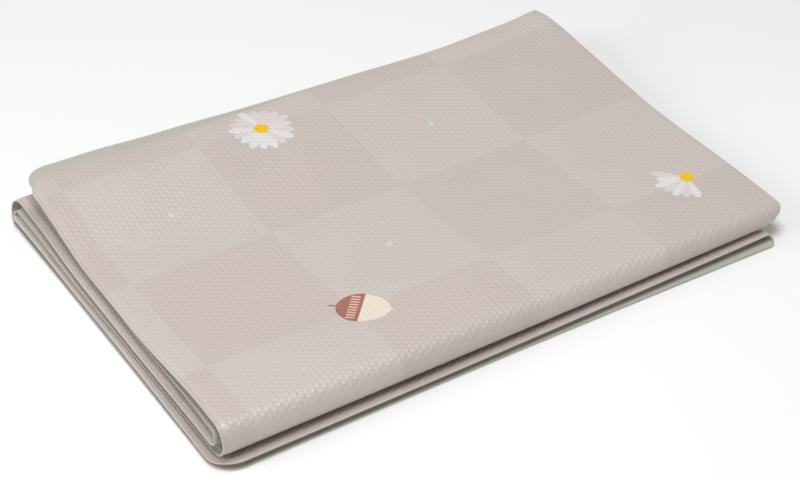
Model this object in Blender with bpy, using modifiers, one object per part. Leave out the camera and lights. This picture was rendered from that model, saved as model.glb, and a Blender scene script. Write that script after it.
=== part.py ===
"""A baby play mat, folded for storage.

One square sheet is folded in half, back to back, and the doubled sheet is then folded in
three, back and forth. That makes six layers: a top, a middle and a bottom panel, each with
two plies. The half fold runs down the right end, the front bend joins the top and middle
panels, and the back bend joins the middle and bottom ones. The four rounded corners of the
sheet are all at the left end.

X runs along the half sheet, from its free ends to the half fold. Y runs from the front bend
to the back bend, and Z up from the surface that the mat lies on.
"""
from collections import namedtuple
from math import cos, pi, sin, sqrt

import bmesh
import bpy

MM = 0.001

# The sheet. Every size here is in millimetres.
THICKNESS = 3.0
CORNER_RADIUS = 30.0

# Where the middle of the folded mat lies, in the X and Y of the tables
CENTRE_X = 313.4
CENTRE_Y = -190.5

# X and Y start at the back left corner of the checks printed on the top panel, and they and the
# heights are to the middle of the thickness. ends says where the ply's free end lies along X,
# and back, middle and front are its heights near the back bend, in the sag between the bends
# and near the front bend.
Across = namedtuple("Across", "left centre right")
Ends = namedtuple("Ends", "back middle front")
Ply = namedtuple("Ply", "panel half ends back middle front")
PLIES = (
    Ply(
        "top", "upper", Ends(-31.5, -31.3, -34.5),
        back=Across(56.5, 48.5, 53.0), middle=Across(34.0, 33.5, 34.0), front=Across(47.5, 41.5, 36.5),
    ),
    Ply(
        "top", "lower", Ends(-23.0, -27.0, -36.5),
        back=Across(52.2, 43.8, 45.5), middle=Across(27.0, 26.5, 27.0), front=Across(37.5, 33.5, 29.5),
    ),
    Ply(
        "middle", "lower", Ends(-36.0, -37.7, -39.7),
        back=Across(28.5, 27.0, 28.0), middle=Across(19.5, 19.5, 20.5), front=Across(22.5, 22.0, 22.0),
    ),
    Ply(
        "middle", "upper", Ends(-40.5, -38.7, -36.3),
        back=Across(19.0, 18.0, 19.0), middle=Across(12.5, 12.5, 13.5), front=Across(11.0, 10.6, 13.3),
    ),
    Ply(
        "bottom", "upper", Ends(-45.2, -43.3, -46.5),
        back=Across(10.0, 9.5, 10.0), middle=Across(6.0, 6.0, 6.5), front=Across(5.5, 5.2, 8.0),
    ),
    Ply(
        "bottom", "lower", Ends(-44.7, -44.5, -44.6),
        back=Across(1.5, 1.5, 1.5), middle=Across(1.5, 1.5, 1.5), front=Across(1.5, 1.5, 1.5),
    ),
)

# Where the rise to the back heights begins, at the left and right ends, and where it is complete
BACK_RISE_LEFT = -125.0
BACK_RISE_RIGHT = -215.0
BACK_RISE_TOP = 15.0

# Where the rise to the front heights begins and where it is complete
FRONT_RISE = -225.0
FRONT_RISE_TOP = -392.0

# How far along Y the free edges across the top and bottom panels lie, and how much each one
# curls up over the last stretch before the edge
FREE_EDGE = {
    ("top", "upper"): Across(35.0, 35.5, 36.5),
    ("top", "lower"): Across(62.5, 51.0, 39.0),
    ("bottom", "upper"): Across(-433.5, -434.0, -434.0),
    ("bottom", "lower"): Across(-433.0, -435.5, -443.0),
}
EDGE_CURL = {
    ("top", "upper"): 0.0,
    ("top", "lower"): 0.0,
    ("bottom", "upper"): 4.0,
    ("bottom", "lower"): 0.0,
}
EDGE_CURL_LENGTH = 24.0

# The top one bows out past that line: where along X, how far to each side of there, and how much
EDGE_BOW_AT = 315.0
EDGE_BOW_REACH = 170.0
EDGE_BOW = 5.0

# How far each half of the sheet reaches at the bends, along Y, how far the half fold reaches
# along X in each panel, and the most that it is drawn in from there round the fold
FRONT_BEND_TIP = {"upper": -426.5, "lower": -415.0}
BACK_BEND_TIP = {"upper": 44.5, "lower": 56.5}
HALF_FOLD_TIP = {
    "top": Ends(664.5, 670.5, 665.0),
    "middle": Ends(655.0, 650.0, 640.0),
    "bottom": Ends(650.0, 646.0, 643.0),
}
HALF_FOLD_DEPTH = 5.0

# Where the left and right values of an Across hold
LEFT_END = -33.0
RIGHT_END = 665.5

# Soft troughs and ridges of the top panel: where each lies, how far it reaches along X and Y,
# and how high it stands
Crease = namedtuple("Crease", "x y reach_x reach_y height")
CREASES = (
    Crease(75, 20, 75, 90, 2.8),
    Crease(172, 20, 85, 90, 1.8),
    Crease(500, 30, 110, 90, -1.8),
    Crease(668, 25, 60, 90, 3.8),
    Crease(120, -60, 130, 45, 0.7),
    Crease(420, -150, 190, 60, -0.8),
    Crease(165, -330, 85, 62, -1.4),
    Crease(335, -335, 105, 62, 1.6),
    Crease(560, -260, 120, 70, 0.8),
)

# Grid of the sheet: rows run across a panel, round a bend or round a free edge's corner, and
# columns run along the half sheet and round the half fold
CORNER_ROWS = 4
PANEL_ROWS = 10
BEND_ROWS = 8
PLY_COLUMNS = 12
HALF_FOLD_COLUMNS = 6

PRINT_COLOUR = (0.58, 0.53, 0.48, 1.0)
PRINT_ROUGHNESS = 0.55


def smooth(start, end, value):
    """0 before start, 1 after end, and an even S between them."""
    part = min(max((value - start) / (end - start), 0.0), 1.0)
    return part * part * (3.0 - 2.0 * part)


def mix(first, second, part):
    return first + (second - first) * part


def along_x(x):
    """How far x is from the left end of the stack to the right one, from 0 to 1."""
    return (x - LEFT_END) / (RIGHT_END - LEFT_END)


def parabola(values, part):
    """The value part of the way along the parabola through three evenly spaced values."""
    first, middle, last = values
    return mix(first, last, part) + (4.0 * middle - 2.0 * (first + last)) * part * (1.0 - part)


def across(values, x):
    """The value at x on the parabola through the left, centre and right values."""
    return parabola(values, along_x(x))


def find_ply(panel, half):
    return next(ply for ply in PLIES if ply.panel == panel and ply.half == half)


def left_end(panel, half, forward):
    """Where a ply's free end lies, from the back of the panel (0) to its front (1)."""
    return parabola(find_ply(panel, half).ends, forward)


def crease_height(x, y):
    """The soft troughs and ridges, each highest at its middle and even with the rest at its reach."""
    total = 0.0
    for crease in CREASES:
        away = ((x - crease.x) / crease.reach_x) ** 2 + ((y - crease.y) / crease.reach_y) ** 2
        total += crease.height * max(1.0 - away, 0.0) ** 2
    return total


def ply_height(ply, x, y):
    """Height of a ply above the ground, with its sag between the bends."""
    back_start = mix(BACK_RISE_LEFT, BACK_RISE_RIGHT, along_x(x))
    back_part = smooth(back_start, BACK_RISE_TOP, y)
    front_part = 1.0 - smooth(FRONT_RISE_TOP, FRONT_RISE, y)
    sag_part = 1.0 - back_part - front_part
    height = (
        across(ply.back, x) * back_part
        + across(ply.middle, x) * sag_part
        + across(ply.front, x) * front_part
    )
    if ply.panel == "top":
        height += crease_height(x, y)
    return height


def bend_radius(half, end, x):
    """Half the height between the two plies that a bend joins, at its front or back end."""
    panels = ("top", "middle") if end == "front" else ("middle", "bottom")
    upper_height, lower_height = (across(getattr(find_ply(panel, half), end), x) for panel in panels)
    return (upper_height - lower_height) / 2.0


def bend_start(half, end, x):
    """Where along Y a ply leaves its panel and turns into the bend."""
    if end == "front":
        return FRONT_BEND_TIP[half] + bend_radius(half, end, x)
    return BACK_BEND_TIP[half] - bend_radius(half, end, x)


def in_bend(half, end, part, x):
    """Y and height of a ply part of the way round a bend, from its upper panel to its lower one."""
    radius = bend_radius(half, end, x)
    start = bend_start(half, end, x)
    outwards = -1.0 if end == "front" else 1.0
    lower_panel = "middle" if end == "front" else "bottom"
    centre_height = across(getattr(find_ply(lower_panel, half), end), x) + radius
    return start + outwards * radius * sin(pi * part), centre_height + radius * cos(pi * part)


def from_free_edge(row):
    """Distance from a panel's free edge to one of its corner rows."""
    return CORNER_RADIUS * (1.0 - cos(pi / 2.0 * row / CORNER_ROWS))


def corner_inset(row):
    """How far the rounded corner draws in a row's left end."""
    return CORNER_RADIUS * (1.0 - sin(pi / 2.0 * min(row, CORNER_ROWS) / CORNER_ROWS))


def free_edge(panel, half, x):
    """Where a free edge lies along Y."""
    edge = across(FREE_EDGE[panel, half], x)
    if (panel, half) == ("top", "upper"):
        edge += EDGE_BOW * max(1.0 - ((x - EDGE_BOW_AT) / EDGE_BOW_REACH) ** 2, 0.0) ** 2
    return edge


def in_end_panel(panel, half, row, x):
    """Y and height on the top or bottom panel, in rows counted from its free edge."""
    edge = free_edge(panel, half, x)
    inwards = -1.0 if panel == "top" else 1.0
    start = bend_start(half, "front" if panel == "top" else "back", x)
    if row <= CORNER_ROWS:
        y = edge + inwards * from_free_edge(row)
    else:
        y = mix(edge + inwards * CORNER_RADIUS, start, (row - CORNER_ROWS) / PANEL_ROWS)
    curl = EDGE_CURL[panel, half] * (1.0 - smooth(0.0, EDGE_CURL_LENGTH, abs(y - edge)))
    return y, ply_height(find_ply(panel, half), x, y) + curl


def in_middle_panel(half, row, x):
    """Y and height on the middle panel, in rows counted from the front bend."""
    y = mix(bend_start(half, "front", x), bend_start(half, "back", x), row / PANEL_ROWS)
    return y, ply_height(find_ply("middle", half), x, y)


# A row of the sheet has a function of half and x that gives Y and height, the two panels between
# which it lies and how far it is from one to the other, how far it is from the back of its panel
# to the front, and how far its left ends are drawn in at the rounded corners.
Row = namedtuple("Row", "place panel next_panel part forward inset")


def sheet_rows():
    """Every row from the top panel's free edge to the bottom panel's."""
    end_rows = CORNER_ROWS + PANEL_ROWS
    for row in range(end_rows):
        place = lambda half, x: in_end_panel("top", half, row, x)
        yield Row(place, "top", "top", 0.0, row / end_rows, corner_inset(row))
    for row in range(BEND_ROWS):
        part = row / BEND_ROWS
        yield Row(lambda half, x: in_bend(half, "front", part, x), "top", "middle", part, 1.0, 0.0)
    for row in range(PANEL_ROWS):
        place = lambda half, x: in_middle_panel(half, row, x)
        yield Row(place, "middle", "middle", 0.0, 1.0 - row / PANEL_ROWS, 0.0)
    for row in range(BEND_ROWS):
        part = row / BEND_ROWS
        yield Row(lambda half, x: in_bend(half, "back", part, x), "middle", "bottom", part, 0.0, 0.0)
    for row in range(end_rows, -1, -1):
        place = lambda half, x: in_end_panel("bottom", half, row, x)
        yield Row(place, "bottom", "bottom", 0.0, 1.0 - row / end_rows, corner_inset(row))


def row_points(row):
    """The points of one row: along the upper half, round the half fold and back along the lower half."""
    tip, next_tip = (parabola(HALF_FOLD_TIP[panel], row.forward) for panel in (row.panel, row.next_panel))
    tip = mix(tip, next_tip, smooth(0.15, 1.0, row.part))
    upper_y, upper_z = row.place("upper", tip)
    lower_y, lower_z = row.place("lower", tip)
    depth = min(sqrt((upper_y - lower_y) ** 2 + (upper_z - lower_z) ** 2) / 2.0, HALF_FOLD_DEPTH)
    fold_x = tip - depth

    def ply_points(half):
        ends = (left_end(panel, half, row.forward) for panel in (row.panel, row.next_panel))
        left = mix(*ends, row.part) + row.inset
        for column in range(PLY_COLUMNS + 1):
            x = mix(left, fold_x, column / PLY_COLUMNS)
            yield (x, *row.place(half, x))

    upper = list(ply_points("upper"))
    lower = list(ply_points("lower"))[::-1]
    (_, upper_y, upper_z), (_, lower_y, lower_z) = upper[-1], lower[0]
    fold = []
    for column in range(1, HALF_FOLD_COLUMNS):
        turn = pi * column / HALF_FOLD_COLUMNS
        down = (1.0 - cos(turn)) / 2.0
        fold.append((fold_x + depth * sin(turn), mix(upper_y, lower_y, down), mix(upper_z, lower_z, down)))
    return upper + fold + lower


def fold_sheet():
    """A flat grid whose points are then moved to their places in the folded sheet."""
    # The rows are worked out one by one, because each place function reads the row it was made for
    points = [row_points(row) for row in sheet_rows()]

    row_count = len(points) - 1
    column_count = len(points[0]) - 1
    sheet = bmesh.new()
    bmesh.ops.create_grid(sheet, x_segments=column_count, y_segments=row_count, size=0.5)
    for vertex in sheet.verts:
        column = round((vertex.co.x + 0.5) * column_count)
        row = round((vertex.co.y + 0.5) * row_count)
        x, y, z = points[row][column]
        vertex.co = ((x - CENTRE_X) * MM, (y - CENTRE_Y) * MM, z * MM)
    mesh = bpy.data.meshes.new("mat")
    sheet.to_mesh(mesh)
    sheet.free()
    return mesh


def sheet_material():
    material = bpy.data.materials.new("printed_foam_sheet")
    material.use_nodes = True
    shader = material.node_tree.nodes["Principled BSDF"]
    shader.inputs["Base Color"].default_value = PRINT_COLOUR
    shader.inputs["Roughness"].default_value = PRINT_ROUGHNESS
    shader.inputs["Metallic"].default_value = 0.0
    return material


for leftover in list(bpy.data.objects):
    bpy.data.objects.remove(leftover, do_unlink=True)

collection = bpy.data.collections.new("folded_play_mat")
bpy.context.scene.collection.children.link(collection)

mat = bpy.data.objects.new("mat", fold_sheet())
collection.objects.link(mat)
mat.data.materials.append(sheet_material())
mat.data.shade_smooth()

shell = mat.modifiers.new("thickness", "SOLIDIFY")
shell.thickness = THICKNESS * MM
shell.offset = 0.0
shell.use_even_offset = True
shell.use_rim = True
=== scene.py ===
from collections import namedtuple
from math import cos, pi, radians, sin, sqrt

import bpy
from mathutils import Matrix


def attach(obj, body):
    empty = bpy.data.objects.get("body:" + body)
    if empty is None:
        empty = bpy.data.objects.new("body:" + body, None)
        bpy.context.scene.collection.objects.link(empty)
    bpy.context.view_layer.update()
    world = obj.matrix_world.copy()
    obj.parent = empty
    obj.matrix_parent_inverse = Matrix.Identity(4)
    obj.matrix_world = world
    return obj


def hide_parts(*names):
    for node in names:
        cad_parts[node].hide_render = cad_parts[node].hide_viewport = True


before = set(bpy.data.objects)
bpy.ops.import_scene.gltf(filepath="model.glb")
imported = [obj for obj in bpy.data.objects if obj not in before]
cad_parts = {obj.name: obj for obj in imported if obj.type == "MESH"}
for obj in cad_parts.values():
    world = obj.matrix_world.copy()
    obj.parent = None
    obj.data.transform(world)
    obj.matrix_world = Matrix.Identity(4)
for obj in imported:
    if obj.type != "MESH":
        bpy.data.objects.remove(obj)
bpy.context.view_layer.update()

# ---- The mat's sheet ----
# One square sheet of soft closed-cell foam, 3 mm thick, with a printed skin on one face and a
# plain skin on the other. It is folded in half with the plain face inside, and the doubled
# sheet is folded in three, back and forth, so it lies in six layers a few millimetres apart.
MM = 0.001
THICKNESS = 3.0
CORNER_RADIUS = 30.0
CENTRE_X = 313.4
CENTRE_Y = -190.5

# X and Y start at the back left corner of the checks printed on the top panel, and they and the
# heights are to the middle of the thickness, in millimetres. ends says where the ply's free end
# lies along X. back, middle and front are its heights near the back bend, in the sag between the
# bends and near the front bend.
Across = namedtuple("Across", "left centre right")
Ends = namedtuple("Ends", "back middle front")
Ply = namedtuple("Ply", "panel half ends back middle front")
PLIES = (
    Ply(
        "top", "upper", Ends(-31.5, -31.3, -34.5),
        back=Across(56.5, 48.5, 53.0), middle=Across(34.0, 33.5, 34.0), front=Across(47.5, 41.5, 36.5),
    ),
    Ply(
        "top", "lower", Ends(-23.0, -27.0, -36.5),
        back=Across(52.2, 43.8, 45.5), middle=Across(27.0, 26.5, 27.0), front=Across(37.5, 33.5, 29.5),
    ),
    Ply(
        "middle", "lower", Ends(-36.0, -37.7, -39.7),
        back=Across(28.5, 27.0, 28.0), middle=Across(19.5, 19.5, 20.5), front=Across(22.5, 22.0, 22.0),
    ),
    Ply(
        "middle", "upper", Ends(-40.5, -38.7, -36.3),
        back=Across(19.0, 18.0, 19.0), middle=Across(12.5, 12.5, 13.5), front=Across(11.0, 10.6, 13.3),
    ),
    Ply(
        "bottom", "upper", Ends(-45.2, -43.3, -46.5),
        back=Across(10.0, 9.5, 10.0), middle=Across(6.0, 6.0, 6.5), front=Across(5.5, 5.2, 8.0),
    ),
    Ply(
        "bottom", "lower", Ends(-44.7, -44.5, -44.6),
        back=Across(1.5, 1.5, 1.5), middle=Across(1.5, 1.5, 1.5), front=Across(1.5, 1.5, 1.5),
    ),
)

# Where the rise to the back heights begins, at the left and right ends, and where it is complete
BACK_RISE_LEFT = -125.0
BACK_RISE_RIGHT = -215.0
BACK_RISE_TOP = 15.0

# Where the rise to the front heights begins and where it is complete
FRONT_RISE = -225.0
FRONT_RISE_TOP = -392.0

# How far along Y the free edges across the top and bottom panels lie, and how much each one
# curls up over the last stretch before the edge
FREE_EDGE = {
    ("top", "upper"): Across(35.0, 35.5, 36.5),
    ("top", "lower"): Across(62.5, 51.0, 39.0),
    ("bottom", "upper"): Across(-433.5, -434.0, -434.0),
    ("bottom", "lower"): Across(-433.0, -435.5, -443.0),
}
EDGE_CURL = {
    ("top", "upper"): 0.0,
    ("top", "lower"): 0.0,
    ("bottom", "upper"): 4.0,
    ("bottom", "lower"): 0.0,
}
EDGE_CURL_LENGTH = 24.0

# The top one bows out past that line: where along X, how far to each side of there, and how much
EDGE_BOW_AT = 315.0
EDGE_BOW_REACH = 170.0
EDGE_BOW = 5.0

# How far each half of the sheet reaches at the bends, along Y, and how far the half fold reaches
# along X in each panel
FRONT_BEND_TIP = {"upper": -426.5, "lower": -415.0}
BACK_BEND_TIP = {"upper": 44.5, "lower": 56.5}
HALF_FOLD_TIP = {
    "top": Ends(664.5, 670.5, 665.0),
    "middle": Ends(655.0, 650.0, 640.0),
    "bottom": Ends(650.0, 646.0, 643.0),
}
HALF_FOLD_DEPTH = 5.0

# Where the left and right values of an Across hold
LEFT_END = -33.0
RIGHT_END = 665.5

# Soft troughs and ridges of the top panel: where each lies, how far it reaches along X and Y,
# and how high it stands
Crease = namedtuple("Crease", "x y reach_x reach_y height")
CREASES = (
    Crease(75, 20, 75, 90, 2.8),
    Crease(172, 20, 85, 90, 1.8),
    Crease(500, 30, 110, 90, -1.8),
    Crease(668, 25, 60, 90, 3.8),
    Crease(120, -60, 130, 45, 0.7),
    Crease(420, -150, 190, 60, -0.8),
    Crease(165, -330, 85, 62, -1.4),
    Crease(335, -335, 105, 62, 1.6),
    Crease(560, -260, 120, 70, 0.8),
)

CORNER_ROWS = 10
PANEL_ROWS = 50
BEND_ROWS = 16
PLY_COLUMNS = 74
HALF_FOLD_COLUMNS = 12

# The welded rim: how wide it is, how thick against the rest of the sheet, and the columns next
# to the left ends, closer together so that the rim has its step
RIM_WIDTH = 5.0
RIM_STEP = 2.0
RIM_SHARE = 0.55
RIM_COLUMNS = (0.0, 2.0, 4.0, 5.5, 7.5, 11.0)


def smooth(start, end, value):
    """0 before start, 1 after end, and an even S between them."""
    part = min(max((value - start) / (end - start), 0.0), 1.0)
    return part * part * (3.0 - 2.0 * part)


def mix(first, second, part):
    return first + (second - first) * part


def along_x(x):
    """How far x is from the left end of the stack to the right one, from 0 to 1."""
    return (x - LEFT_END) / (RIGHT_END - LEFT_END)


def parabola(values, part):
    """The value part of the way along the parabola through three evenly spaced values."""
    first, middle, last = values
    return mix(first, last, part) + (4.0 * middle - 2.0 * (first + last)) * part * (1.0 - part)


def across(values, x):
    """The value at x on the parabola through the left, centre and right values."""
    return parabola(values, along_x(x))


def find_ply(panel, half):
    return next(ply for ply in PLIES if ply.panel == panel and ply.half == half)


def left_end(panel, half, forward):
    """Where a ply's free end lies, from the back of the panel (0) to its front (1)."""
    return parabola(find_ply(panel, half).ends, forward)


def crease_height(x, y):
    """The soft troughs and ridges, each highest at its middle and even with the rest at its reach."""
    total = 0.0
    for crease in CREASES:
        away = ((x - crease.x) / crease.reach_x) ** 2 + ((y - crease.y) / crease.reach_y) ** 2
        total += crease.height * max(1.0 - away, 0.0) ** 2
    return total


def ply_height(ply, x, y):
    """Height of a ply above the ground, with its sag between the bends."""
    back_start = mix(BACK_RISE_LEFT, BACK_RISE_RIGHT, along_x(x))
    back_part = smooth(back_start, BACK_RISE_TOP, y)
    front_part = 1.0 - smooth(FRONT_RISE_TOP, FRONT_RISE, y)
    sag_part = 1.0 - back_part - front_part
    height = (
        across(ply.back, x) * back_part
        + across(ply.middle, x) * sag_part
        + across(ply.front, x) * front_part
    )
    if ply.panel == "top":
        height += crease_height(x, y)
    return height


def bend_radius(half, end, x):
    """Half the height between the two plies that a bend joins, at its front or back end."""
    panels = ("top", "middle") if end == "front" else ("middle", "bottom")
    upper_height, lower_height = (across(getattr(find_ply(panel, half), end), x) for panel in panels)
    return (upper_height - lower_height) / 2.0


def bend_start(half, end, x):
    """Where along Y a ply leaves its panel and turns into the bend."""
    if end == "front":
        return FRONT_BEND_TIP[half] + bend_radius(half, end, x)
    return BACK_BEND_TIP[half] - bend_radius(half, end, x)


def in_bend(half, end, part, x):
    """Y and height of a ply part of the way round a bend, from its upper panel to its lower one."""
    radius = bend_radius(half, end, x)
    start = bend_start(half, end, x)
    outwards = -1.0 if end == "front" else 1.0
    lower_panel = "middle" if end == "front" else "bottom"
    centre_height = across(getattr(find_ply(lower_panel, half), end), x) + radius
    return start + outwards * radius * sin(pi * part), centre_height + radius * cos(pi * part)


def from_free_edge(row):
    """Distance from a panel's free edge to one of its corner rows."""
    return CORNER_RADIUS * (1.0 - cos(pi / 2.0 * row / CORNER_ROWS))


def corner_inset(row):
    """How far the rounded corner draws in a row's left end."""
    return CORNER_RADIUS * (1.0 - sin(pi / 2.0 * min(row, CORNER_ROWS) / CORNER_ROWS))


def free_edge(panel, half, x):
    """Where a free edge lies along Y."""
    edge = across(FREE_EDGE[panel, half], x)
    if (panel, half) == ("top", "upper"):
        edge += EDGE_BOW * max(1.0 - ((x - EDGE_BOW_AT) / EDGE_BOW_REACH) ** 2, 0.0) ** 2
    return edge


def in_end_panel(panel, half, row, x):
    """Y and height on the top or bottom panel, in rows counted from its free edge."""
    edge = free_edge(panel, half, x)
    inwards = -1.0 if panel == "top" else 1.0
    start = bend_start(half, "front" if panel == "top" else "back", x)
    if row <= CORNER_ROWS:
        y = edge + inwards * from_free_edge(row)
    else:
        y = mix(edge + inwards * CORNER_RADIUS, start, (row - CORNER_ROWS) / PANEL_ROWS)
    curl = EDGE_CURL[panel, half] * (1.0 - smooth(0.0, EDGE_CURL_LENGTH, abs(y - edge)))
    return y, ply_height(find_ply(panel, half), x, y) + curl


def in_middle_panel(half, row, x):
    """Y and height on the middle panel, in rows counted from the front bend."""
    y = mix(bend_start(half, "front", x), bend_start(half, "back", x), row / PANEL_ROWS)
    return y, ply_height(find_ply("middle", half), x, y)


# A row of the sheet has a function of half and x that gives Y and height, the two panels between
# which it lies and how far it is from one to the other, how far it is from the back of its panel
# to the front, and how far its left ends are drawn in at the rounded corners.
Row = namedtuple("Row", "place panel next_panel part forward inset")


def sheet_rows():
    """Every row from the top panel's free edge to the bottom panel's."""
    end_rows = CORNER_ROWS + PANEL_ROWS
    for row in range(end_rows):
        place = lambda half, x: in_end_panel("top", half, row, x)
        yield Row(place, "top", "top", 0.0, row / end_rows, corner_inset(row))
    for row in range(BEND_ROWS):
        part = row / BEND_ROWS
        yield Row(lambda half, x: in_bend(half, "front", part, x), "top", "middle", part, 1.0, 0.0)
    for row in range(PANEL_ROWS):
        place = lambda half, x: in_middle_panel(half, row, x)
        yield Row(place, "middle", "middle", 0.0, 1.0 - row / PANEL_ROWS, 0.0)
    for row in range(BEND_ROWS):
        part = row / BEND_ROWS
        yield Row(lambda half, x: in_bend(half, "back", part, x), "middle", "bottom", part, 0.0, 0.0)
    for row in range(end_rows, -1, -1):
        place = lambda half, x: in_end_panel("bottom", half, row, x)
        yield Row(place, "bottom", "bottom", 0.0, 1.0 - row / end_rows, corner_inset(row))


def row_points(row):
    """The points of one row: along the upper half, round the half fold and back along the lower half."""
    tip, next_tip = (parabola(HALF_FOLD_TIP[panel], row.forward) for panel in (row.panel, row.next_panel))
    tip = mix(tip, next_tip, smooth(0.15, 1.0, row.part))
    upper_y, upper_z = row.place("upper", tip)
    lower_y, lower_z = row.place("lower", tip)
    depth = min(sqrt((upper_y - lower_y) ** 2 + (upper_z - lower_z) ** 2) / 2.0, HALF_FOLD_DEPTH)
    fold_x = tip - depth

    def ply_points(half):
        ends = (left_end(panel, half, row.forward) for panel in (row.panel, row.next_panel))
        left = mix(*ends, row.part) + row.inset
        for distance in RIM_COLUMNS:
            yield (left + distance, *row.place(half, left + distance))
        start = left + RIM_COLUMNS[-1]
        for column in range(1, PLY_COLUMNS + 1):
            x = mix(start, fold_x, column / PLY_COLUMNS)
            yield (x, *row.place(half, x))

    upper = list(ply_points("upper"))
    lower = list(ply_points("lower"))[::-1]
    (_, upper_y, upper_z), (_, lower_y, lower_z) = upper[-1], lower[0]
    fold = []
    for column in range(1, HALF_FOLD_COLUMNS):
        turn = pi * column / HALF_FOLD_COLUMNS
        down = (1.0 - cos(turn)) / 2.0
        fold.append((fold_x + depth * sin(turn), mix(upper_y, lower_y, down), mix(upper_z, lower_z, down)))
    return upper + fold + lower


def distances(points):
    """How far each point of a line is from its start, measured along the line."""
    total = 0.0
    yield total
    for before, after in zip(points, points[1:]):
        total += sqrt(sum((a - b) ** 2 for a, b in zip(before, after)))
        yield total


# The rows are worked out one by one, because each place function reads the row it was made for
points = [row_points(row) for row in sheet_rows()]
insets = [row.inset for row in sheet_rows()]
row_count = len(points) - 1
column_count = len(points[0]) - 1

# Flat coordinates: where each point lay on the open sheet, in millimetres, from the same corner
# of the checks. The open sheet runs from its upper half's left end to its lower half's, and from
# the top panel's free edge to the bottom panel's.
along_rows = [list(distances(line)) for line in points]
along_columns = [list(distances([(y, z) for x, y, z in line])) for line in zip(*points)]
FLAT_LEFT = -33.0
FLAT_BACK = 35.0
FLAT_WIDTH = along_rows[CORNER_ROWS][-1]
FLAT_LENGTH = along_columns[column_count // 4][-1]


def flat_point(row, column):
    """True to size on the top panel, which shows, and eased to the same total length further on."""
    inset = insets[row]
    across_part = along_rows[row][column] / along_rows[row][-1]
    u = FLAT_LEFT + inset + across_part * (FLAT_WIDTH - 2.0 * inset)
    past_top = smooth(row_count / 3.0, row_count, row)
    to_spare = FLAT_LENGTH - along_columns[column][-1]
    return u, FLAT_BACK - along_columns[column][row] - to_spare * past_top


def print_point(row, column):
    """Where the print lies: it runs straight on the top panel, where the sheet's edges are a little skew."""
    u, v = flat_point(row, column)
    return u + points[row][0][0] - (FLAT_LEFT + insets[row]), v + points[0][column][1] - FLAT_BACK


def from_rim(u, v):
    """Distance in from the open sheet's rounded outline."""
    x = abs(u - FLAT_LEFT - FLAT_WIDTH / 2.0) - FLAT_WIDTH / 2.0 + CORNER_RADIUS
    y = abs(v - FLAT_BACK + FLAT_LENGTH / 2.0) - FLAT_LENGTH / 2.0 + CORNER_RADIUS
    return CORNER_RADIUS - sqrt(max(x, 0.0) ** 2 + max(y, 0.0) ** 2) - min(max(x, y), 0.0)


bpy.ops.object.select_all(action="DESELECT")
bpy.ops.mesh.primitive_grid_add(x_subdivisions=column_count, y_subdivisions=row_count, size=1.0)
sheet = bpy.context.active_object
sheet.name = "mat_sheet"
for finish in ("vinyl_printed_and_embossed", "vinyl_plain_and_dull", "vinyl_skins_welded_and_cut"):
    sheet.data.materials.append(bpy.data.materials.new(finish))
flat_map = sheet.data.uv_layers.active
flat_map.name = "flat"
thinning = sheet.vertex_groups.new(name="away_from_rim")
print_places = []
rim_distances = []
for vertex in sheet.data.vertices:
    column = round((vertex.co.x + 0.5) * column_count)
    row = row_count - round((vertex.co.y + 0.5) * row_count)
    x, y, z = points[row][column]
    vertex.co = ((x - CENTRE_X) * MM, (y - CENTRE_Y) * MM, z * MM)
    print_places.append(print_point(row, column))
    rim_distances.append(from_rim(*flat_point(row, column)))
    thinning.add([vertex.index], smooth(RIM_WIDTH, RIM_WIDTH + RIM_STEP, rim_distances[-1]), "REPLACE")
for loop in sheet.data.loops:
    u, v = print_places[loop.vertex_index]
    flat_map.data[loop.index].uv = (u * MM, v * MM)

shell = sheet.modifiers.new("thickness", "SOLIDIFY")
shell.thickness = THICKNESS * MM
shell.offset = 0.0
shell.use_even_offset = True
shell.use_rim = True
shell.vertex_group = thinning.name
shell.thickness_vertex_group = RIM_SHARE
shell.material_offset = 1
shell.material_offset_rim = 2
bpy.ops.object.modifier_apply(modifier=shell.name)
skin = sheet.data.attributes.new("printed_side", "FLOAT", "POINT")
rim = sheet.data.attributes.new("rim_distance", "FLOAT", "POINT")
for vertex in sheet.data.vertices:
    skin.data[vertex.index].value = 1.0 if vertex.index < len(rim_distances) else 0.0
    rim.data[vertex.index].value = rim_distances[vertex.index % len(rim_distances)]
bpy.ops.object.shade_smooth_by_angle(angle=radians(50.0))

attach(sheet, "root")
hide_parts("mat")


# ---- The printed face ----
# Vinyl skin, printed and then embossed by a heated roller. The roller leaves staggered rows of low
# round buttons, so the face is matt with a soft point of light on each button, partly a painted
# highlight, and a shade beside it. The print is broad checks in two close beiges, with a few daisies, an
# acorn and dots.
def linear(hex_colour):
    """An sRGB hex colour as the linear colour that a shader takes."""
    parts = [int(hex_colour[at:at + 2], 16) / 255.0 for at in (1, 3, 5)]
    return (*(part / 12.92 if part <= 0.04045 else ((part + 0.055) / 1.055) ** 2.4 for part in parts), 1.0)


def add_node(tree, kind, inputs, **settings):
    """Adds a node with its settings. inputs gives each input's value, or the node or output it reads."""
    made = tree.nodes.new(kind)
    for name, value in settings.items():
        setattr(made, name, value)
    for socket, value in inputs.items():
        if isinstance(value, bpy.types.Node):
            value = next(output for output in value.outputs if output.enabled)
        if isinstance(value, bpy.types.NodeSocket):
            tree.links.new(value, made.inputs[socket])
        else:
            made.inputs[socket].default_value = value
    return made


CHECK = 166.2
LIGHT_CHECK = "#cec4be"
DARK_CHECK = "#cbbfb8"

# Embossing: the spacing of the buttons, the radius of their flat top and of their foot, and their
# height, drawn higher than such a skin has, which is likely 0.2 mm, so that it shows
BUTTON_PITCH = 7.3
BUTTON_TOP = 0.7
BUTTON_FOOT = 2.5
BUTTON_HEIGHT = 0.42
EMBOSSED_FROM = 5.2
GROOVE_AT = 3.6
GROOVE_WIDTH = 1.4
GROOVE_DEPTH = 0.2

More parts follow.
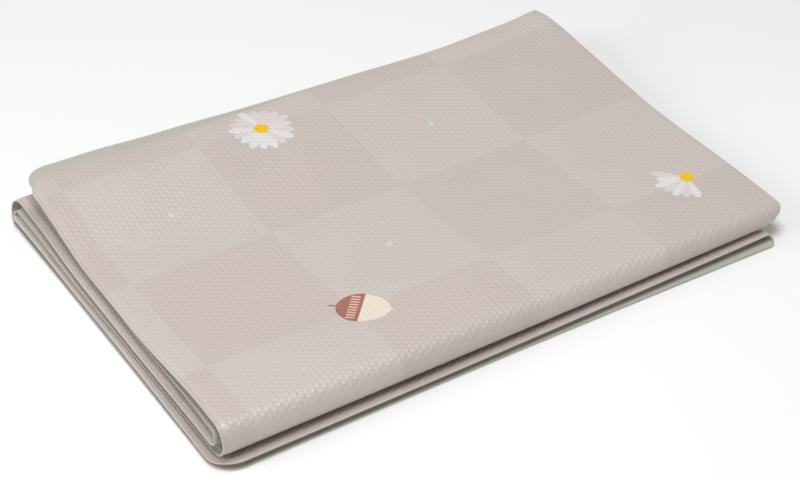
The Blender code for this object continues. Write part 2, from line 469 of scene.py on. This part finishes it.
# A daisy shows the petals within its spread, to each side of the way that it faces. petals is
# how many would go all the way round.
PETAL_WHITE = "#e2e2e0"
PETAL_PINK = "#dfd6d2"
PETAL_HALF_WIDTH = 6.6
# How far out a petal is widest, as a share of its reach
PETAL_MIDDLE = 0.54
DAISY_CENTRE = 8.8
DAISY_YELLOW = "#f1c700"
Daisy = namedtuple("Daisy", "x y turn petals spread length")
DAISIES = (
    Daisy(246.8, -2.7, 12.0, 17, 180.0, 42.5),
    Daisy(604.5, -328.5, -168.0, 19, 66.5, 41.0),
    Daisy(905.0, -700.0, 40.0, 17, 180.0, 42.0),
    Daisy(380.0, -905.0, 20.0, 17, 180.0, 42.0),
)

ACORN_CAP = "#a8705f"
ACORN_DASH = "#e9c8b6"
ACORN_NUT = "#ebe0cd"
# The strokes on the cap: their spacing and width, how far the row reaches to each side, and where
# along the acorn it starts and ends
STROKE_PITCH = 4.6
STROKE_WIDTH = 2.0
STROKES_REACH = 19.6
STROKES_FROM = 20.5
STROKES_TO = 30.0
MINT = "#c9dcd4"
Acorn = namedtuple("Acorn", "x y turn")
ACORNS = (Acorn(151.0, -309.5, -42.0),)
MINT_DOTS = ((87.0, -86.0), (261.0, -250.5), (422.0, -89.0), (560.0, -480.0), (870.0, -420.0))
MINT_RADIUS = 3.2


def paint_daisy(tree, place, under, daisy):
    """Petals in two tones, each as long as chance makes it, and a yellow centre."""
    local = add_node(
        tree,
        "ShaderNodeMapping",
        {"Vector": place, "Location": (daisy.x, daisy.y, 0.0), "Rotation": (0.0, 0.0, radians(daisy.turn))},
        vector_type="TEXTURE",
    )
    parts = add_node(tree, "ShaderNodeSeparateXYZ", {0: local})
    radius = add_node(tree, "ShaderNodeVectorMath", {0: local}, operation="LENGTH")
    angle = add_node(
        tree, "ShaderNodeMath", {0: parts.outputs["Y"], 1: parts.outputs["X"]}, operation="ARCTAN2"
    )
    turns = add_node(tree, "ShaderNodeMath", {0: angle, 1: daisy.petals / (2.0 * pi)}, operation="MULTIPLY")
    petal = add_node(tree, "ShaderNodeMath", {0: turns}, operation="ROUND")
    aside = add_node(tree, "ShaderNodeMath", {0: turns, 1: petal}, operation="SUBTRACT")
    aside = add_node(tree, "ShaderNodeMath", {0: aside, 1: radius}, operation="MULTIPLY")
    # Across the petal, from -1 at one side to 1 at the other
    across_petal = 2.0 * pi / daisy.petals / PETAL_HALF_WIDTH
    aside = add_node(tree, "ShaderNodeMath", {0: aside, 1: across_petal}, operation="MULTIPLY")
    seed = add_node(tree, "ShaderNodeMath", {0: petal, 1: daisy.x}, operation="ADD")
    chance = add_node(tree, "ShaderNodeTexWhiteNoise", {"W": seed}, noise_dimensions="1D")
    reach = add_node(
        tree,
        "ShaderNodeMath",
        {0: chance.outputs["Value"], 1: 0.2 * daisy.length, 2: 0.82 * daisy.length},
        operation="MULTIPLY_ADD",
    )
    along = add_node(tree, "ShaderNodeMath", {0: radius, 1: reach}, operation="DIVIDE")
    half_length = 1.0 - PETAL_MIDDLE
    along = add_node(
        tree,
        "ShaderNodeMath",
        {0: along, 1: 1.0 / half_length, 2: -PETAL_MIDDLE / half_length},
        operation="MULTIPLY_ADD",
    )
    oval = add_node(tree, "ShaderNodeCombineXYZ", {0: along, 1: aside})
    oval = add_node(tree, "ShaderNodeVectorMath", {0: oval}, operation="LENGTH")
    petals = add_node(
        tree,
        "ShaderNodeMapRange",
        {"Value": oval, "From Min": 1.06, "From Max": 0.94},
        interpolation_type="SMOOTHSTEP",
    )
    turned = add_node(tree, "ShaderNodeMath", {0: angle}, operation="ABSOLUTE")
    # A little more than the spread, so that a whole flower has no gap where the angle starts again
    spread = radians(daisy.spread) + 0.01
    facing = add_node(tree, "ShaderNodeMath", {0: turned, 1: spread}, operation="LESS_THAN")
    petals = add_node(tree, "ShaderNodeMath", {0: petals, 1: facing}, operation="MULTIPLY")
    tone = add_node(
        tree,
        "ShaderNodeMapRange",
        {"Value": chance.outputs["Color"], "From Min": 0.5, "From Max": 0.62},
    )
    petal_colour = add_node(
        tree,
        "ShaderNodeMix",
        {"Factor": tone, 6: linear(PETAL_PINK), 7: linear(PETAL_WHITE)},
        data_type="RGBA",
    )
    flower = add_node(tree, "ShaderNodeMix", {"Factor": petals, 6: under, 7: petal_colour}, data_type="RGBA")
    centre = add_node(
        tree,
        "ShaderNodeMapRange",
        {"Value": radius, "From Min": DAISY_CENTRE + 0.5, "From Max": DAISY_CENTRE - 0.5},
        interpolation_type="SMOOTHSTEP",
    )
    return add_node(
        tree, "ShaderNodeMix", {"Factor": centre, 6: flower, 7: linear(DAISY_YELLOW)}, data_type="RGBA"
    )


def paint_acorn(tree, place, under, acorn):
    """A cap with a stem and a row of short strokes, and a pale nut with a pointed tip."""
    local = add_node(
        tree,
        "ShaderNodeMapping",
        {"Vector": place, "Location": (acorn.x, acorn.y, 0.0), "Rotation": (0.0, 0.0, radians(acorn.turn))},
        vector_type="TEXTURE",
    )
    parts = add_node(tree, "ShaderNodeSeparateXYZ", {0: local})
    along, aside = parts.outputs["X"], parts.outputs["Y"]
    # Each shape is an oval round a centre: where it lies, its half length and width, and which
    # part of it along the acorn shows
    shapes = (
        (ACORN_CAP, 4.5, 5.5, 1.4, -2.0, 9.0),
        (ACORN_NUT, 33.0, 30.5, 23.3, 33.0, 70.0),
        (ACORN_NUT, 57.0, 9.5, 4.0, 33.0, 70.0),
        (ACORN_CAP, 33.5, 26.0, 24.7, 6.0, 34.0),
    )
    colour = under
    for tone, centre, half_length, half_width, first, last in shapes:
        x = add_node(
            tree,
            "ShaderNodeMath",
            {0: along, 1: 1.0 / half_length, 2: -centre / half_length},
            operation="MULTIPLY_ADD",
        )
        y = add_node(tree, "ShaderNodeMath", {0: aside, 1: half_width}, operation="DIVIDE")
        oval = add_node(tree, "ShaderNodeCombineXYZ", {0: x, 1: y})
        oval = add_node(tree, "ShaderNodeVectorMath", {0: oval}, operation="LENGTH")
        inside = add_node(tree, "ShaderNodeMath", {0: oval, 1: 1.0}, operation="LESS_THAN")
        after = add_node(tree, "ShaderNodeMath", {0: along, 1: first}, operation="GREATER_THAN")
        before = add_node(tree, "ShaderNodeMath", {0: along, 1: last}, operation="LESS_THAN")
        stretch = add_node(tree, "ShaderNodeMath", {0: after, 1: before}, operation="MULTIPLY")
        mask = add_node(tree, "ShaderNodeMath", {0: inside, 1: stretch}, operation="MULTIPLY")
        colour = add_node(
            tree, "ShaderNodeMix", {"Factor": mask, 6: colour, 7: linear(tone)}, data_type="RGBA"
        )
    stroke = add_node(tree, "ShaderNodeMath", {0: aside, 1: STROKE_PITCH / 2.0}, operation="PINGPONG")
    stroke = add_node(tree, "ShaderNodeMath", {0: stroke, 1: STROKE_WIDTH / 2.0}, operation="LESS_THAN")
    near = add_node(tree, "ShaderNodeMath", {0: aside}, operation="ABSOLUTE")
    near = add_node(tree, "ShaderNodeMath", {0: near, 1: STROKES_REACH}, operation="LESS_THAN")
    after = add_node(tree, "ShaderNodeMath", {0: along, 1: STROKES_FROM}, operation="GREATER_THAN")
    before = add_node(tree, "ShaderNodeMath", {0: along, 1: STROKES_TO}, operation="LESS_THAN")
    for other in (near, after, before):
        stroke = add_node(tree, "ShaderNodeMath", {0: stroke, 1: other}, operation="MULTIPLY")
    return add_node(
        tree, "ShaderNodeMix", {"Factor": stroke, 6: colour, 7: linear(ACORN_DASH)}, data_type="RGBA"
    )


printed = sheet.data.materials["vinyl_printed_and_embossed"]
printed.use_nodes = True
tree = printed.node_tree
shader = tree.nodes["Principled BSDF"]
flat = add_node(tree, "ShaderNodeUVMap", {}, uv_map="flat")
place = add_node(tree, "ShaderNodeVectorMath", {0: flat, "Scale": 1.0 / MM}, operation="SCALE")

checks = add_node(tree, "ShaderNodeVectorMath", {0: place, "Scale": 1.0 / CHECK}, operation="SCALE")
checks = add_node(tree, "ShaderNodeVectorMath", {0: checks, 1: (0.0, 1.0, 0.5)}, operation="ADD")
colour = add_node(
    tree,
    "ShaderNodeTexChecker",
    {"Vector": checks, "Color1": linear(DARK_CHECK), "Color2": linear(LIGHT_CHECK), "Scale": 1.0},
)
for daisy in DAISIES:
    colour = paint_daisy(tree, place, colour, daisy)
for acorn in ACORNS:
    colour = paint_acorn(tree, place, colour, acorn)
for x, y in MINT_DOTS:
    away = add_node(tree, "ShaderNodeVectorMath", {0: place, 1: (x, y, 0.0)}, operation="DISTANCE")
    dot = add_node(
        tree,
        "ShaderNodeMapRange",
        {"Value": away, "From Min": MINT_RADIUS + 0.6, "From Max": MINT_RADIUS - 0.6},
    )
    colour = add_node(tree, "ShaderNodeMix", {"Factor": dot, 6: colour, 7: linear(MINT)}, data_type="RGBA")

# The buttons stand in two lattices of oblong cells, one half a cell along and across from the
# other, so that each button is as far from all six round it
cell = (BUTTON_PITCH * sqrt(3.0), BUTTON_PITCH, 1.0)
nearest = None
for shift in (0.0, 0.5):
    away = add_node(tree, "ShaderNodeVectorMath", {0: place, 1: cell}, operation="DIVIDE")
    away = add_node(tree, "ShaderNodeVectorMath", {0: away, 1: (shift, shift, 0.0)}, operation="ADD")
    away = add_node(tree, "ShaderNodeVectorMath", {0: away}, operation="FRACTION")
    away = add_node(tree, "ShaderNodeVectorMath", {0: away, 1: (0.5, 0.5, 0.0)}, operation="SUBTRACT")
    away = add_node(tree, "ShaderNodeVectorMath", {0: away, 1: cell}, operation="MULTIPLY")
    away = add_node(tree, "ShaderNodeVectorMath", {0: away}, operation="LENGTH")
    if nearest:
        away = add_node(tree, "ShaderNodeMath", {0: away, 1: nearest}, operation="MINIMUM")
    nearest = away
button = add_node(
    tree,
    "ShaderNodeMapRange",
    {"Value": nearest, "From Min": BUTTON_FOOT, "From Max": BUTTON_TOP},
    interpolation_type="SMOOTHSTEP",
)
depth = add_node(tree, "ShaderNodeAttribute", {}, attribute_name="rim_distance").outputs["Fac"]
embossed = add_node(
    tree,
    "ShaderNodeMapRange",
    {"Value": depth, "From Min": EMBOSSED_FROM - 1.0, "From Max": EMBOSSED_FROM + 1.0},
)
button = add_node(tree, "ShaderNodeMath", {0: button, 1: embossed}, operation="MULTIPLY")
groove = add_node(tree, "ShaderNodeMath", {0: depth, 1: GROOVE_AT}, operation="SUBTRACT")
groove = add_node(tree, "ShaderNodeMath", {0: groove}, operation="ABSOLUTE")
groove = add_node(
    tree,
    "ShaderNodeMapRange",
    {"Value": groove, "From Min": GROOVE_WIDTH / 2.0, "From Max": 0.0, "To Max": -GROOVE_DEPTH},
    interpolation_type="SMOOTHSTEP",
)
relief = add_node(tree, "ShaderNodeMath", {0: button, 1: BUTTON_HEIGHT, 2: groove}, operation="MULTIPLY_ADD")
bump = add_node(tree, "ShaderNodeBump", {"Height": relief, "Distance": MM, "Strength": 1.0})

# Each button's top is painted lighter, a painted highlight standing in for the light it catches, and the
# whole print varies a little from roller to roller
drift = add_node(tree, "ShaderNodeTexNoise", {"Vector": place, "Scale": 1.0 / 90.0, "Detail": 2.0})
drift = add_node(tree, "ShaderNodeMapRange", {"Value": drift, "To Min": 0.95, "To Max": 1.01})
painted_highlight_and_drift = add_node(tree, "ShaderNodeMath", {0: button, 1: 0.055, 2: drift}, operation="MULTIPLY_ADD")
colour = add_node(tree, "ShaderNodeVectorMath", {0: colour, "Scale": painted_highlight_and_drift}, operation="SCALE")
tree.links.new(colour.outputs[0], shader.inputs["Base Color"])
tree.links.new(bump.outputs[0], shader.inputs["Normal"])
shader.inputs["Roughness"].default_value = 0.33
shader.inputs["IOR"].default_value = 1.49


# ---- The plain face ----
# The same skin without a print, in a soft grey green, with the fine dull grain of its release
# paper. It shows only between the layers, along their edges.
BACK_GREEN = "#bdbaae"
BACK_GRAIN = 1.1
plain = sheet.data.materials["vinyl_plain_and_dull"]
plain.use_nodes = True
tree = plain.node_tree
shader = tree.nodes["Principled BSDF"]
flat = add_node(tree, "ShaderNodeUVMap", {}, uv_map="flat")
place = add_node(tree, "ShaderNodeVectorMath", {0: flat, "Scale": 1.0 / MM}, operation="SCALE")
grain = add_node(tree, "ShaderNodeTexNoise", {"Vector": place, "Scale": 1.0 / BACK_GRAIN, "Detail": 3.0})
bump = add_node(tree, "ShaderNodeBump", {"Height": grain, "Distance": 0.12 * MM, "Strength": 1.0})
tone = add_node(tree, "ShaderNodeMapRange", {"Value": grain, "To Min": 0.93, "To Max": 1.05})
colour = add_node(tree, "ShaderNodeVectorMath", {0: linear(BACK_GREEN)[:3], "Scale": tone}, operation="SCALE")
tree.links.new(colour.outputs[0], shader.inputs["Base Color"])
tree.links.new(bump.outputs[0], shader.inputs["Normal"])
shader.inputs["Roughness"].default_value = 0.6
shader.inputs["IOR"].default_value = 1.49


# ---- The welded rim's cut edge ----
# The two skins are pressed together hot round the foam and cut through, so the edge shows the
# printed skin's pale beige on one half and the plain skin's grey green on the other, slightly glossy.
EDGE_BEIGE = "#d4cbc2"
EDGE_GREEN = "#9b9d91"
cut = sheet.data.materials["vinyl_skins_welded_and_cut"]
cut.use_nodes = True
tree = cut.node_tree
shader = tree.nodes["Principled BSDF"]
flat = add_node(tree, "ShaderNodeUVMap", {}, uv_map="flat")
place = add_node(tree, "ShaderNodeVectorMath", {0: flat, "Scale": 1.0 / MM}, operation="SCALE")
melt = add_node(tree, "ShaderNodeTexNoise", {"Vector": place, "Scale": 1.0 / 6.0, "Detail": 2.0})
side = add_node(tree, "ShaderNodeAttribute", {}, attribute_name="printed_side")
uneven = add_node(
    tree, "ShaderNodeMath", {0: melt, 1: 0.12, 2: side.outputs["Fac"]}, operation="MULTIPLY_ADD"
)
side = add_node(tree, "ShaderNodeMapRange", {"Value": uneven, "From Min": 0.5, "From Max": 0.62})
colour = add_node(
    tree, "ShaderNodeMix", {"Factor": side, 6: linear(EDGE_GREEN), 7: linear(EDGE_BEIGE)}, data_type="RGBA"
)
tree.links.new(colour.outputs[2], shader.inputs["Base Color"])
shader.inputs["Roughness"].default_value = 0.4


# ---- The floor ----
# A plain pale studio floor, painted matt, that the mat lies on.
FLOOR_PAINT = "#fbfbfa"
bpy.ops.object.select_all(action="DESELECT")
bpy.ops.mesh.primitive_plane_add(size=14.0)
floor = bpy.context.active_object
floor.name = "floor"
paint = bpy.data.materials.new("emulsion_paint_rolled")
paint.use_nodes = True
tree = paint.node_tree
shader = tree.nodes["Principled BSDF"]
here = add_node(tree, "ShaderNodeTexCoord", {})
cloud = add_node(tree, "ShaderNodeTexNoise", {"Vector": here.outputs["Object"], "Scale": 0.8})
tone = add_node(tree, "ShaderNodeMapRange", {"Value": cloud, "To Min": 0.985, "To Max": 1.0})
colour = add_node(
    tree, "ShaderNodeVectorMath", {0: linear(FLOOR_PAINT)[:3], "Scale": tone}, operation="SCALE"
)
tree.links.new(colour.outputs[0], shader.inputs["Base Color"])
shader.inputs["Roughness"].default_value = 0.9
floor.data.materials.append(paint)


# ---- Light and camera ----
# A soft light overhead, a little towards the front left, a low one at the left, and an even pale
# surround.
for name, place, turn, size, power in (
    ("overhead", (-0.2, -0.35, 2.6), (-7.0, -4.0, 0.0), 1.3, 42.0),
    ("left", (-2.4, 0.5, 1.3), (62.0, 0.0, -102.0), 1.4, 23.0),
):
    bpy.ops.object.light_add(type="AREA", location=place, rotation=[radians(angle) for angle in turn])
    lamp = bpy.context.active_object
    lamp.name = name
    lamp.data.shape = "SQUARE"
    lamp.data.size = size
    lamp.data.energy = power

surround = bpy.data.worlds.new("surround")
surround.use_nodes = True
surround.node_tree.nodes["Background"].inputs["Color"].default_value = (1.0, 1.0, 1.0, 1.0)
surround.node_tree.nodes["Background"].inputs["Strength"].default_value = 0.36
bpy.context.scene.world = surround
bpy.context.scene.view_settings.view_transform = "Standard"

bpy.ops.object.camera_add(
    location=(-0.9199, -1.4217, 1.2653), rotation=[radians(angle) for angle in (52.885, -0.176, -32.821)]
)
camera = bpy.context.active_object
camera.data.sensor_width = 36.0
camera.data.lens = 85.5
bpy.context.scene.camera = camera
